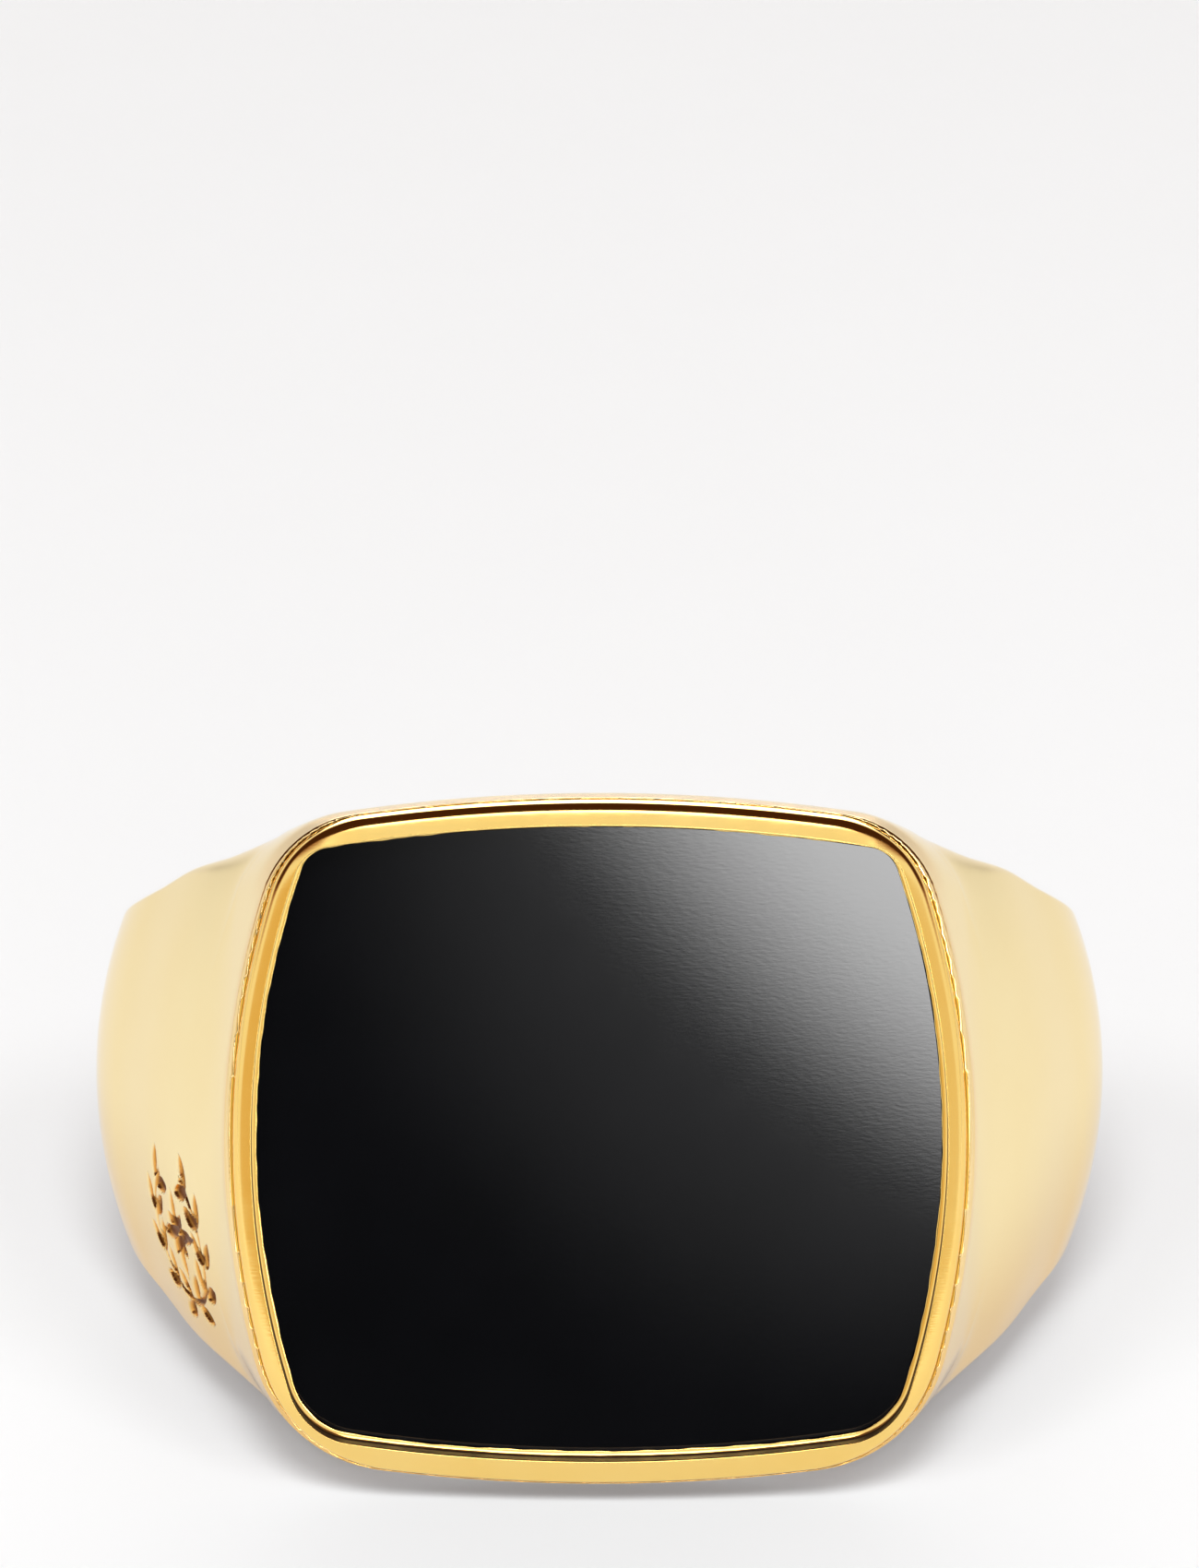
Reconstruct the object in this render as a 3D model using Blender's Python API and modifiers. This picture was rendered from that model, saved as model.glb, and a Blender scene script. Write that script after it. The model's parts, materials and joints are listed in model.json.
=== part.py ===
"""Signet ring with a cushion-shaped onyx tablet, put together the way a goldsmith assembles one.

A cast shank carries two shoulders and a flat landing. A cushion-shaped collet stands on the landing, held by a
film of solder, with a back plate closing its floor. The onyx tablet lies on a bed of cement on that plate.

Ring axes: the finger hole runs along Z, the head faces -Y and X = 0 is the mirror plane. One empty then leans the
whole ring back until it rests on its side on Z = 0, on the edge of its head and on the back of its band.
"""

import math

import bmesh
import bpy
from mathutils import Vector

MM = 0.001

# Band, from the finger hole outwards
FINGER_HOLE_RADIUS = 9.90 * MM
SIDE_WALL = 2.10 * MM  # at each side of the finger
BACK_WALL = 1.80 * MM  # under the finger
BACK_HALF_HEIGHT = 2.75 * MM
TAPER_POWER = 2.15  # how quickly the band narrows away from the head
BAND_EDGE_RADIUS = 0.35 * MM
SIDE_CROWN_RADIUS = 10.5 * MM  # the outside of the band is slightly domed
SHOULDER_CROWN_RADIUS = 15.0 * MM
SHOULDER_BULGE = 0.12 * MM  # how far a shoulder swells past a straight line
SHOULDER_DROP = 0.37 * MM  # the shoulders end this far below the ends of the head
SHOULDER_STEP = 0.10 * MM  # a shoulder meets the rim this far outside it
SHOULDER_SETBACK = 0.40 * MM  # and stops this far behind the face of the rim
BLOCK_TAPER = 0.35 * MM  # the block under the head draws in by this much towards the finger

# Head outline, a cushion: slightly bowed sides and ends with round corners
HEAD_HALF_WIDTH = 8.50 * MM
HEAD_HALF_HEIGHT = 7.97 * MM
HEAD_SIDE_ARC = 19.6 * MM
HEAD_END_ARC = 40.6 * MM
HEAD_CORNER_RADIUS = 3.00 * MM
RIM_WIDTH = 0.58 * MM
OPENING_CORNER_RADIUS = 1.30 * MM
RIM_OUTER_ROUND = 0.25 * MM
RIM_INNER_ROUND = 0.08 * MM

# Stack in the head, from the finger hole out to the rim
LANDING_WALL = 0.66 * MM
SOLDER_FILM = 0.06 * MM
PLATE_THICKNESS = 0.30 * MM
CEMENT_THICKNESS = 0.10 * MM
STONE_THICKNESS = 1.00 * MM
RIM_PROUD = 0.90 * MM  # the rim stands this far above the stone
STONE_EDGE_BEVEL = 0.08 * MM

# Clearances
STACK_GAP = 0.02 * MM  # between layers of the stack
COLLET_GAP = 0.03 * MM  # between the collet and the shoulders
PLATE_GAP = 0.03 * MM  # around the plate, the cement and the stone
SOLDER_INSET = 0.15 * MM  # solder stops short of the collet's outside

# Depths along Y, negative towards the wearer's view of the head
LANDING_DEPTH = -(FINGER_HOLE_RADIUS + LANDING_WALL)
SOLDER_DEPTH = LANDING_DEPTH - STACK_GAP
COLLET_BACK = SOLDER_DEPTH - SOLDER_FILM - STACK_GAP
CEMENT_DEPTH = COLLET_BACK - PLATE_THICKNESS - STACK_GAP
STONE_DEPTH = CEMENT_DEPTH - CEMENT_THICKNESS - STACK_GAP
TABLE_DEPTH = STONE_DEPTH - STONE_THICKNESS
RIM_DEPTH = TABLE_DEPTH - RIM_PROUD

# Facets
QUARTER_SIDE_STEPS = 5
QUARTER_CORNER_STEPS = 6
QUARTER_END_STEPS = 5
BORE_SIDES = 96
HEAD_STATIONS = 7
SHOULDER_STATIONS = 13
BACK_STATIONS = 22
CROWN_STEPS = 8
EDGE_STEPS = 3


class Outline:
    """A cushion outline facing -Y: two bowed sides, two flatter ends and four round corners."""

    def __init__(self, half_width, half_height, side_arc, end_arc, corner):
        self.half_width = half_width
        self.half_height = half_height
        self.side_arc = side_arc
        self.end_arc = end_arc
        self.corner = corner

    def inset(self, distance):
        """The same outline moved inwards all round by distance."""
        return Outline(
            self.half_width - distance,
            self.half_height - distance,
            self.side_arc - distance,
            self.end_arc - distance,
            self.corner - distance,
        )

    def corner_centre(self):
        """Centre of the corner arc that is tangent to the end arc and to the side arc."""
        end_centre = Vector((0, self.half_height - self.end_arc))
        side_centre = Vector((self.half_width - self.side_arc, 0))
        end_reach = self.end_arc - self.corner
        side_reach = self.side_arc - self.corner
        span = side_centre - end_centre
        along = (end_reach**2 - side_reach**2 + span.length_squared) / (2 * span.length)
        across = math.sqrt(end_reach**2 - along**2)
        forward = span.normalized()
        return end_centre + along * forward + across * Vector((forward.y, -forward.x))

    def points(self):
        """The outline as (x, z) pairs, clockwise from the middle of its upper end."""
        centre = self.corner_centre()
        end_angle = math.atan2(centre.x, centre.y - self.half_height + self.end_arc)
        side_angle = math.atan2(centre.x - self.half_width + self.side_arc, centre.y)
        end_centre = Vector((0, self.half_height - self.end_arc))
        side_centre = Vector((self.half_width - self.side_arc, 0))
        quarter = arc(end_centre, self.end_arc, 0, end_angle, QUARTER_END_STEPS)
        quarter += arc(centre, self.corner, end_angle, side_angle, QUARTER_CORNER_STEPS)[1:]
        quarter += arc(side_centre, self.side_arc, side_angle, math.pi / 2, QUARTER_SIDE_STEPS)[1:]
        lower = [(x, -z) for x, z in reversed(quarter[:-1])]
        right = quarter + lower
        left = [(-x, z) for x, z in reversed(right[1:-1])]
        return right + left

    def ring(self, depth):
        """The outline as points in space, at one depth along Y."""
        return [(x, depth, z) for x, z in self.points()]


def arc(centre, radius, start, end, steps):
    """Points (x, z) on an arc, with angles measured clockwise from +Z."""
    angles = [start + (end - start) * i / steps for i in range(steps + 1)]
    return [(centre.x + radius * math.sin(a), centre.y + radius * math.cos(a)) for a in angles]


HEAD = Outline(HEAD_HALF_WIDTH, HEAD_HALF_HEIGHT, HEAD_SIDE_ARC, HEAD_END_ARC, HEAD_CORNER_RADIUS)
OPENING = Outline(
    HEAD_HALF_WIDTH - RIM_WIDTH,
    HEAD_HALF_HEIGHT - RIM_WIDTH,
    HEAD_SIDE_ARC - RIM_WIDTH,
    HEAD_END_ARC - RIM_WIDTH,
    OPENING_CORNER_RADIUS,
)


def clear_scene():
    for old in list(bpy.data.objects):
        bpy.data.objects.remove(old, do_unlink=True)


def new_collection(name):
    collection = bpy.data.collections.new(name)
    bpy.context.scene.collection.children.link(collection)
    return collection


def new_material(name, colour, roughness, metallic):
    material = bpy.data.materials.new(name)
    material.use_nodes = True
    shader = material.node_tree.nodes["Principled BSDF"]
    shader.inputs["Base Color"].default_value = (*colour, 1)
    shader.inputs["Roughness"].default_value = roughness
    shader.inputs["Metallic"].default_value = metallic
    return material


def add_object(name, data, collection, root, material=None):
    item = bpy.data.objects.new(name, data)
    collection.objects.link(item)
    item.parent = root
    if material is not None:
        data.materials.append(material)
    return item


def loft_mesh(name, rings, wrap):
    """Skin a row of rings with quads. A wrapped row closes on itself; any other gets a cap at each end."""
    shape = bmesh.new()
    rows = [[shape.verts.new(point) for point in ring] for ring in rings]
    following = rows[1:] + rows[:1] if wrap else rows[1:]
    for row, following_row in zip(rows, following):
        for i in range(len(row)):
            j = (i + 1) % len(row)
            shape.faces.new((row[i], row[j], following_row[j], following_row[i]))
    if not wrap:
        shape.faces.new(rows[0])
        shape.faces.new(rows[-1])
    bmesh.ops.recalc_face_normals(shape, faces=shape.faces)
    # The quads of a domed surface are slightly twisted, and a cut needs flat faces
    bmesh.ops.triangulate(shape, faces=shape.faces)
    mesh = bpy.data.meshes.new(name)
    shape.to_mesh(mesh)
    shape.free()
    return mesh


def smooth(mesh, sharp_angle=math.radians(35)):
    mesh.shade_smooth()
    mesh.set_sharp_from_angle(angle=sharp_angle)


def flat_piece(name, outline, back, thickness, collection, root, material):
    """A flat plate cut to an outline, whose back lies at one depth and whose front is nearer the viewer."""
    curve = bpy.data.curves.new(name, "CURVE")
    curve.dimensions = "2D"
    curve.fill_mode = "BOTH"
    curve.extrude = thickness / 2
    points = outline.points()
    spline = curve.splines.new("POLY")
    spline.points.add(len(points) - 1)
    for spline_point, (x, z) in zip(spline.points, points):
        spline_point.co = (x, z, 0, 1)
    spline.use_cyclic_u = True
    piece = add_object(name, curve, collection, root, material)
    piece.rotation_euler.x = math.pi / 2
    piece.location.y = back - thickness / 2
    return piece


def add_cutter(name, mesh, collection, root):
    cutter = add_object(name, mesh, collection, root)
    cutter.display_type = "WIRE"
    cutter.hide_render = True
    return cutter


def apply_boolean(target, operation, other):
    boolean = target.modifiers.new(other.name, "BOOLEAN")
    boolean.operation = operation
    boolean.object = other
    boolean.solver = "EXACT"


def shoulder_normal():
    """Angle from the head to the direction that a shoulder's straight line faces."""
    tip = Vector((HEAD_HALF_WIDTH + SHOULDER_STEP, -RIM_DEPTH))
    tip_angle = math.atan2(tip.x, tip.y)
    side_radius = FINGER_HOLE_RADIUS + SIDE_WALL
    return tip_angle + math.acos(side_radius / tip.length)


def shoulder_front():
    """Angle from the head at which the shoulder line reaches the plane where the shoulders stop."""
    normal = shoulder_normal()
    side_radius = FINGER_HOLE_RADIUS + SIDE_WALL
    front = -RIM_DEPTH - SHOULDER_SETBACK
    # The line x sin(normal) + y cos(normal) = side_radius, taken at y = front
    return math.atan2((side_radius - front * math.cos(normal)) / math.sin(normal), front)


def outer_radius(angle, height):
    """Distance from the finger axis to the outside of the band, angle away from the head and height up."""
    normal = shoulder_normal()
    front_angle = shoulder_front()
    headward = max(0.0, math.cos(angle))
    crown_radius = SIDE_CROWN_RADIUS + (SHOULDER_CROWN_RADIUS - SIDE_CROWN_RADIUS) * headward
    crown = crown_radius - math.sqrt(crown_radius**2 - height**2)
    if angle >= normal:
        share = (angle - normal) / (math.pi - normal)
        wall = SIDE_WALL + (BACK_WALL - SIDE_WALL) * share**2 * (3 - 2 * share)
        return FINGER_HOLE_RADIUS + wall - crown
    share = (angle - front_angle) / (normal - front_angle)
    bulge = SHOULDER_BULGE * math.sin(math.pi * min(1.0, max(0.0, share))) ** 2
    line = (FINGER_HOLE_RADIUS + SIDE_WALL + bulge - crown) / math.cos(normal - angle)
    plane = (-RIM_DEPTH - SHOULDER_SETBACK) / math.cos(angle) if angle < math.pi / 3 else line
    return min(line, plane)


def half_height(angle):
    """Half the height of the band at an angle away from the head."""
    shoulder_height = HEAD_HALF_HEIGHT - SHOULDER_DROP
    share = ((1 + math.cos(angle)) / 2) ** TAPER_POWER
    return BACK_HALF_HEIGHT + (shoulder_height - BACK_HALF_HEIGHT) * share


def band_section(angle, core_radius):
    """One section of the band in the half-plane at an angle, from the lower inside corner round to the upper."""
    turn = abs(angle)
    top = half_height(turn)
    flank = top - BAND_EDGE_RADIUS
    edge_centre = outer_radius(turn, flank) - BAND_EDGE_RADIUS
    sweep = [math.pi / 2 * i / EDGE_STEPS for i in range(EDGE_STEPS + 1)]
    rounding = [
        (edge_centre + BAND_EDGE_RADIUS * math.sin(a), flank + BAND_EDGE_RADIUS * math.cos(a)) for a in sweep
    ]
    heights = [flank - 2 * flank * i / CROWN_STEPS for i in range(1, CROWN_STEPS)]
    crown = [(outer_radius(turn, z), z) for z in heights]
    lower_rounding = [(r, -z) for r, z in reversed(rounding)]
    inside = [(core_radius, -top), (core_radius, 0), (core_radius, top)]
    profile = inside + rounding + crown + lower_rounding
    return [(r * math.sin(angle), -r * math.cos(angle), z) for r, z in profile]


def station_angles():
    """Angles of the band's sections, closer together where the outline turns, mirrored about the head."""
    front_angle = shoulder_front()
    normal = shoulder_normal()
    half = [front_angle * i / HEAD_STATIONS for i in range(HEAD_STATIONS)]
    half += [front_angle + (normal - front_angle) * i / SHOULDER_STATIONS for i in range(SHOULDER_STATIONS)]
    half += [normal + (math.pi - normal) * i / BACK_STATIONS for i in range(BACK_STATIONS + 1)]
    return half + [-angle for angle in reversed(half[1:-1])]


def make_shank(parts, cutters, root, gold):
    """The cast band with its shoulders, cut flat under the head and bored for the finger."""
    core_radius = FINGER_HOLE_RADIUS - BACK_WALL / 2
    sections = [band_section(angle, core_radius) for angle in station_angles()]
    mesh = loft_mesh("shank", sections, wrap=True)
    smooth(mesh)
    shank = add_object("shank", mesh, parts, root, gold)

    # The block under the head keeps the collet's outline back to where its corners meet the finger hole
    corner_x = HEAD_HALF_WIDTH - HEAD_CORNER_RADIUS / 2
    block_back = -math.sqrt(FINGER_HOLE_RADIUS**2 - corner_x**2)
    block_rings = [HEAD.ring(LANDING_DEPTH - STACK_GAP), HEAD.inset(BLOCK_TAPER).ring(block_back)]
    block = add_cutter("head_block", loft_mesh("head_block", block_rings, wrap=False), cutters, root)
    apply_boolean(shank, "UNION", block)

    pocket_outline = HEAD.inset(-COLLET_GAP)
    beyond_rim = RIM_DEPTH - SHOULDER_SETBACK
    pocket_rings = [pocket_outline.ring(LANDING_DEPTH), pocket_outline.ring(beyond_rim)]
    pocket = add_cutter("collet_pocket", loft_mesh("collet_pocket", pocket_rings, wrap=False), cutters, root)
    apply_boolean(shank, "DIFFERENCE", pocket)

    bore_shape = bmesh.new()
    bmesh.ops.create_cone(
        bore_shape,
        cap_ends=True,
        segments=BORE_SIDES,
        radius1=FINGER_HOLE_RADIUS,
        radius2=FINGER_HOLE_RADIUS,
        depth=4 * HEAD_HALF_HEIGHT,
    )
    bore_mesh = bpy.data.meshes.new("finger_hole")
    bore_shape.to_mesh(bore_mesh)
    bore_shape.free()
    bore = add_cutter("finger_hole", bore_mesh, cutters, root)
    apply_boolean(shank, "DIFFERENCE", bore)
    return shank


def make_collet(parts, root, gold):
    """The cushion-shaped frame round the stone: a wall with a rounded rim, swept round the head's outline."""
    sweep = [math.pi / 2 * i / EDGE_STEPS for i in range(EDGE_STEPS + 1)]
    rings = [HEAD.ring(COLLET_BACK)]
    for angle in sweep:
        inset = RIM_OUTER_ROUND * (1 - math.cos(angle))
        rings.append(HEAD.inset(inset).ring(RIM_DEPTH + RIM_OUTER_ROUND * (1 - math.sin(angle))))
    for angle in reversed(sweep):
        inset = RIM_INNER_ROUND * (1 - math.cos(angle))
        rings.append(OPENING.inset(-inset).ring(RIM_DEPTH + RIM_INNER_ROUND * (1 - math.sin(angle))))
    rings.append(OPENING.ring(COLLET_BACK))
    mesh = loft_mesh("collet", rings, wrap=True)
    smooth(mesh)
    return add_object("collet", mesh, parts, root, gold)


def make_stone(parts, root, onyx):
    """The onyx tablet, flat on both sides, with its edges broken so that they don't chip."""
    outline = OPENING.inset(PLATE_GAP)
    stone = flat_piece("onyx_tablet", outline, STONE_DEPTH, STONE_THICKNESS, parts, root, onyx)
    weld = stone.modifiers.new("weld", "WELD")
    weld.merge_threshold = 0.00001
    bevel = stone.modifiers.new("bevel", "BEVEL")
    bevel.width = STONE_EDGE_BEVEL
    bevel.segments = 2
    bevel.limit_method = "ANGLE"
    bevel.angle_limit = math.radians(60)
    return stone


def resting_lean(pieces):
    """Angle that lays the ring on its side, and the height of its lowest line, from the shapes themselves."""
    bpy.context.view_layer.update()
    depsgraph = bpy.context.evaluated_depsgraph_get()
    points = []
    for piece in pieces:
        evaluated = piece.evaluated_get(depsgraph)
        mesh = evaluated.to_mesh()
        points += [piece.matrix_world @ vertex.co for vertex in mesh.vertices]
        evaluated.to_mesh_clear()
    head = [p for p in points if p.y < 0]
    back = [p for p in points if p.y > 0]
    slope = 0.0
    for _ in range(4):
        front_foot = min(head, key=lambda p: p.z - slope * p.y)
        back_foot = min(back, key=lambda p: (p.z - front_foot.z) / (p.y - front_foot.y))
        slope = (back_foot.z - front_foot.z) / (back_foot.y - front_foot.y)
    return math.atan(slope), points


def stand_on_its_side(root, pieces):
    """Lean the ring back onto both of its feet, with the middle of its footprint at the origin."""
    lean, points = resting_lean(pieces)
    root.rotation_euler.x = -lean
    turned = [root.rotation_euler.to_matrix() @ p for p in points]
    low = min(p.z for p in turned)
    middle = (min(p.y for p in turned) + max(p.y for p in turned)) / 2
    root.location = (0, -middle, -low)


def main():
    clear_scene()
    parts = new_collection("signet_ring")
    cutters = new_collection("signet_ring_cutters")
    root = bpy.data.objects.new("ring_on_its_side", None)
    parts.objects.link(root)

    gold = new_material("gold_plate", (0.90, 0.66, 0.27), 0.12, 1.0)
    bare_gold = new_material("unplated_metal", (0.80, 0.60, 0.30), 0.35, 1.0)
    solder_metal = new_material("solder", (0.82, 0.72, 0.48), 0.40, 1.0)
    cement = new_material("setting_cement", (0.05, 0.05, 0.05), 0.60, 0.0)
    onyx = new_material("onyx", (0.006, 0.006, 0.008), 0.06, 0.0)

    shank = make_shank(parts, cutters, root, gold)
    collet = make_collet(parts, root, gold)
    stone = make_stone(parts, root, onyx)
    inside = OPENING.inset(PLATE_GAP)
    plate = flat_piece("back_plate", inside, COLLET_BACK, PLATE_THICKNESS, parts, root, bare_gold)
    bed = flat_piece("cement_bed", inside, CEMENT_DEPTH, CEMENT_THICKNESS, parts, root, cement)
    film = HEAD.inset(SOLDER_INSET)
    seam = flat_piece("solder_seam", film, SOLDER_DEPTH, SOLDER_FILM, parts, root, solder_metal)
    stand_on_its_side(root, [shank, collet, stone, plate, bed, seam])


main()
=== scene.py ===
# %% [markdown]
# # A gold-plated signet ring with an onyx tablet
# This lesson dresses a finished ring model. The model gives every piece its place and size. Here each
# visible piece is made again with the smooth curves, soft edges and finish that a goldsmith would leave on
# it.

# %% Load the ring model
import json
import math

import bmesh
import bpy
import numpy as np
from mathutils import Matrix, Vector


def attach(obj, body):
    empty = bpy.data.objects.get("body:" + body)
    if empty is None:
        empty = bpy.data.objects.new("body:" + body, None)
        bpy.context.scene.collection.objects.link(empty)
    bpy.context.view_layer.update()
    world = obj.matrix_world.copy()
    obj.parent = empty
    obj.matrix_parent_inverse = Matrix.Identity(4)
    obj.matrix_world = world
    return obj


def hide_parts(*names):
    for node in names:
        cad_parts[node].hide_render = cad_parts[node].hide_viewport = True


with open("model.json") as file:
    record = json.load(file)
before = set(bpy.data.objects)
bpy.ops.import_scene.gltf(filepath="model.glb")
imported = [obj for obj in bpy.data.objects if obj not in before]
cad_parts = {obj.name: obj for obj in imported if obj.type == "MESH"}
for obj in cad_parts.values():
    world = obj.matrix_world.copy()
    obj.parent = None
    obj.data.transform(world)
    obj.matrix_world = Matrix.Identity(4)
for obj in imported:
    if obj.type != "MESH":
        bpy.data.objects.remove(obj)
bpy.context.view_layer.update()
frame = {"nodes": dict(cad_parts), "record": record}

# %% [markdown]
# ## The ring's own axes
# The ring lies on its side and leans back, because its head is taller than the back of its band. It is
# easier to shape a ring about its own axes: finger hole along Z, head towards -Y. The model's record says
# where the stone's face is and which way it looks, and that is enough to find how far the ring leans and
# where its centre lies.

# %% Find the lean and the centre
MM = 0.001
TABLE_DEPTH = -12.10  # the stone's face, from the finger axis
signet_face = frame["record"]["mounts"][0]
face_point = Vector(signet_face["pos_m"])
face_normal = Vector(signet_face["axis"])
lean = math.atan2(face_normal.z, -face_normal.y)
ring_turn = Matrix.Rotation(-lean, 4, "X")
ring_centre = face_point - ring_turn @ Vector((0, TABLE_DEPTH * MM, 0))
print("lean, degrees:", round(math.degrees(lean), 2))
print("centre, mm:", [round(1000 * c, 2) for c in ring_centre])

# %% [markdown]
# ## Working sizes
# All shaping below is in millimetres about the ring's own axes. Jewellers think in tenths of a millimetre,
# and the numbers stay easy to read. Most of them are the sizes that the model was made with. A few are the
# goldsmith's last touches, and they differ from the model: the tip of the shoulder by a tenth of a
# millimetre, the corners by four tenths, and the opening for the stone by a tenth at each side.

# %% Sizes of the band and the head
FINGER_RADIUS = 9.90
SIDE_WALL = 2.10
BACK_WALL = 1.80
BACK_HALF_HEIGHT = 2.75
SHOULDER_HALF_HEIGHT = 7.60
TAPER_POWER = 2.15
HEAD_HALF_WIDTH = 8.50
HEAD_HALF_HEIGHT = 7.97
HEAD_SIDE_ARC = 19.6
HEAD_END_ARC = 40.6
HEAD_CORNER = 3.00
CORNER_LEAN = 0.40  # the upper corners are this much sharper, and the lower ones this much rounder
OPENING_CORNER = 1.30
RIM_DEPTH = -13.00
LANDING_DEPTH = -10.56
COLLET_BACK = -10.66
SHOULDER_TIP = (8.58, 12.50)  # how far to the side, and how far towards the head, each shoulder ends

# %% [markdown]
# ## Shapes as distances
# A cast ring has no hard joins: its surfaces run into each other through small fillets, and its edges are
# rounded by polishing. One way to get that is to describe the metal by a function that is negative inside
# and positive outside. Two such shapes can then be joined or cut with a soft edge of any radius, and the
# surface is where the result is 0.


# %% Soft joins and rounded cuts
def soft_union(first, second, fillet):
    share = np.clip(0.5 + 0.5 * (second - first) / fillet, 0, 1)
    return second + (first - second) * share - fillet * share * (1 - share)


def rounded_overlap(first, second, radius):
    beyond = np.hypot(np.maximum(first + radius, 0), np.maximum(second + radius, 0))
    return beyond + np.minimum(np.maximum(first, second) + radius, 0) - radius


def ease(low, high, value):
    share = np.clip((value - low) / (high - low), 0, 1)
    return share * share * (3 - 2 * share)


# %% [markdown]
# ## The band and its shoulders
# Seen along the finger, the outside of the band is round at the back and sides, and then runs straight to
# the head, swelling a little. The band gets taller towards the head, with a little extra fullness where the
# shoulder starts, and its outside is gently domed, so that light rolls over it. All of these are simple
# formulas of the angle away from the head, which keeps the polished surface free of ripples.

# %% The band's outside and height
tip_angle = math.atan2(*SHOULDER_TIP)
shoulder_turn = tip_angle + math.acos((FINGER_RADIUS + SIDE_WALL) / math.hypot(*SHOULDER_TIP))
print("shoulder line faces", round(math.degrees(shoulder_turn), 1), "degrees from the head")

SHOULDER_FULLNESS = 0.12  # the shoulder stands this much taller than the plain taper, where it is fullest
FULLEST_ANGLE = 1.07  # in radians from the head
FULLNESS_SPREAD = 0.16
STRAIGHT_SWELL = 0.12  # how far the straight stretch swells out in its middle
SIDE_DOME = 10.5  # radius of the domed outside, at the sides and the back
HEAD_DOME_EXTRA = 4.5  # the radius is larger by this much next to the head, so the dome is flatter
BAND_EDGE = 0.18
SHOULDER_EDGE_EXTRA = 0.20  # the polisher rounds the shoulders' edges more


def band_half_height(angle):
    share = ((1 + np.cos(angle)) / 2) ** TAPER_POWER
    fullness = SHOULDER_FULLNESS * np.exp(-(((angle - FULLEST_ANGLE) / FULLNESS_SPREAD) ** 2))
    return BACK_HALF_HEIGHT + (SHOULDER_HALF_HEIGHT - BACK_HALF_HEIGHT) * share + fullness


def band_dome(angle, height):
    """How far the domed outside has fallen away at a height above the band's middle."""
    radius = SIDE_DOME + HEAD_DOME_EXTRA * np.maximum(0, np.cos(angle))
    return radius - np.sqrt(np.maximum(radius**2 - height**2, 1))


def beyond_band(angle, distance, height):
    """Distance outside the band, for a point at this angle, distance from the finger axis and height."""
    turned = np.maximum(0, shoulder_turn - angle)
    back_share = ease(shoulder_turn, math.pi, angle)
    wall = SIDE_WALL + (BACK_WALL - SIDE_WALL) * back_share
    swell_share = np.clip((angle - tip_angle) / (shoulder_turn - tip_angle), 0, 1)
    swell = STRAIGHT_SWELL * np.sin(math.pi * swell_share) ** 2
    outside = distance * np.cos(turned) - FINGER_RADIUS - wall - swell + band_dome(angle, height)
    above = np.abs(height) - band_half_height(angle)
    edge_radius = BAND_EDGE + SHOULDER_EDGE_EXTRA * (1 - ease(0.75, 1.10, angle))
    return rounded_overlap(outside, above, edge_radius)


# %% [markdown]
# ## The block under the head
# The head is a cushion: four bowed sides with round corners. Behind the stone's frame the casting keeps
# that outline down to the finger hole. Its flanks lean out a little towards the band, and its top and
# bottom lean in. The upper corners are a little sharper than the lower ones. Where the domed shoulders fall
# away at the corners, a wedge of this block shows between the frame and the shoulder.


# %% Cushion outline and head block
def beyond_cushion(x, z, half_width, half_height, corner):
    """Distance outside a cushion outline: bowed sides, flatter ends, and corner arcs tangent to both."""
    corner = np.where(z > 0, corner - CORNER_LEAN, corner + CORNER_LEAN)
    x, z = np.abs(x), np.abs(z)
    end_arc_z = half_height - HEAD_END_ARC
    side_arc_x = half_width - HEAD_SIDE_ARC
    end_reach = HEAD_END_ARC - corner
    side_reach = HEAD_SIDE_ARC - corner
    span = np.hypot(side_arc_x, end_arc_z)
    along = (end_reach**2 - side_reach**2 + span**2) / (2 * span)
    across = np.sqrt(end_reach**2 - along**2)
    corner_x = (along * side_arc_x - across * end_arc_z) / span
    corner_z = end_arc_z + (-along * end_arc_z - across * side_arc_x) / span
    bearing = np.arctan2(x - corner_x, z - corner_z)
    in_corner = bearing > np.arctan2(corner_x, corner_z - end_arc_z)
    in_corner &= bearing < np.arctan2(corner_x - side_arc_x, corner_z)
    side = np.hypot(x - side_arc_x, z) - HEAD_SIDE_ARC
    end = np.hypot(x, z - end_arc_z) - HEAD_END_ARC
    return np.where(in_corner, np.hypot(x - corner_x, z - corner_z) - corner, np.maximum(side, end))


SKIN = 0.03  # the casting laps the stone's frame by at least this much
RIM_STANDS_PROUD = 0.50  # the rim's face is this far in front of the casting
FRONT_OF_CASTING = RIM_DEPTH + RIM_STANDS_PROUD
FLARE = 0.21  # how fast the block's flanks lean out, per mm of depth
FLARE_LENGTH = 3.2
DRAW_IN = 0.20  # how fast its top and bottom lean in, per mm of depth
DRAW_IN_START = -11.75
DRAW_IN_SOFTNESS = 0.5
BLOCK_BACK = -6.8
BLOCK_ROUND = 0.5
CREASE = 0.12  # fillet between shoulder and block in front, and how much larger it grows towards the finger
CREASE_GROWTH = 0.5
FRONT_EDGE = 0.02
HOLE_EDGE = 0.28
COMFORT = 0.10  # the finger hole opens out by this much at its rims, so that the ring slides on


def beyond_block(x, y, z):
    half_width = HEAD_HALF_WIDTH + SKIN + FLARE * np.clip(y - RIM_DEPTH, 0, FLARE_LENGTH)
    leaning = np.hypot(np.maximum(0, y - DRAW_IN_START), DRAW_IN_SOFTNESS) - DRAW_IN_SOFTNESS
    half_height = HEAD_HALF_HEIGHT + SKIN - DRAW_IN * leaning
    outline = beyond_cushion(x, z, half_width, half_height, HEAD_CORNER)
    return rounded_overlap(outline, y - BLOCK_BACK, BLOCK_ROUND)


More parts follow.
